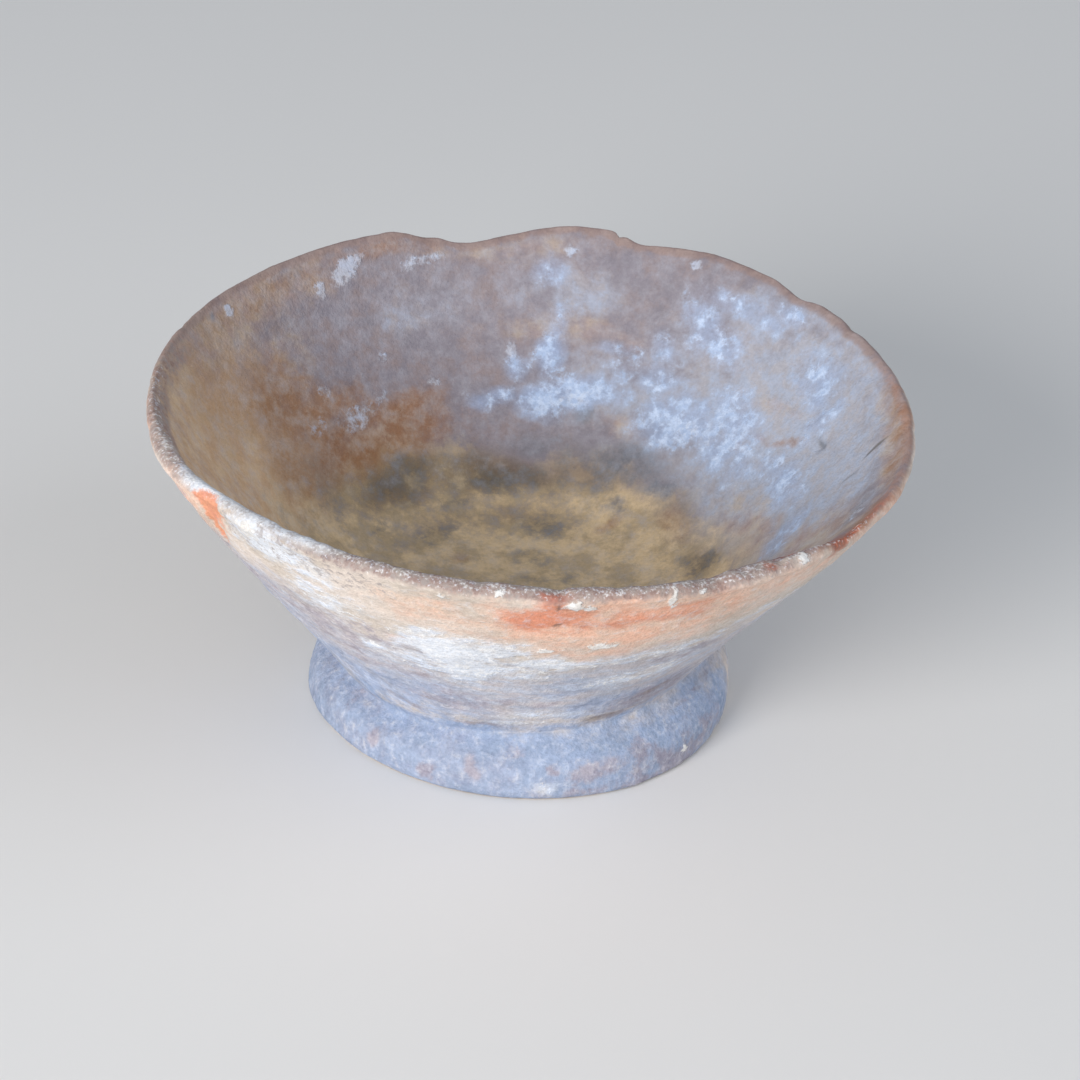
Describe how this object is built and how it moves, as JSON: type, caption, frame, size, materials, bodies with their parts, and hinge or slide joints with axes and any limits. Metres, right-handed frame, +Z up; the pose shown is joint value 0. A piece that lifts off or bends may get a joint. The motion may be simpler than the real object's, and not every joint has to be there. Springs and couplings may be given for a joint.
{
  "type": "footed pottery dish",
  "caption": "Open, flaring pottery bowl on a low hollow ring foot, hand-thrown, with a chipped lip, salt crust and soil.",
  "frame": {"origin": "under the middle of the dish's outline, on the plane that the foot rests on", "axes": "+Z up through the mouth, -Y towards the side with the bare red clay, +X to the right of it"},
  "size_m": [0.1988, 0.197, 0.0897],
  "materials": {
    "clay": "matt worn clay with salt crust"
  },
  "bodies": {
    "root": {"dish": "clay"}
  },
  "joints": []
}
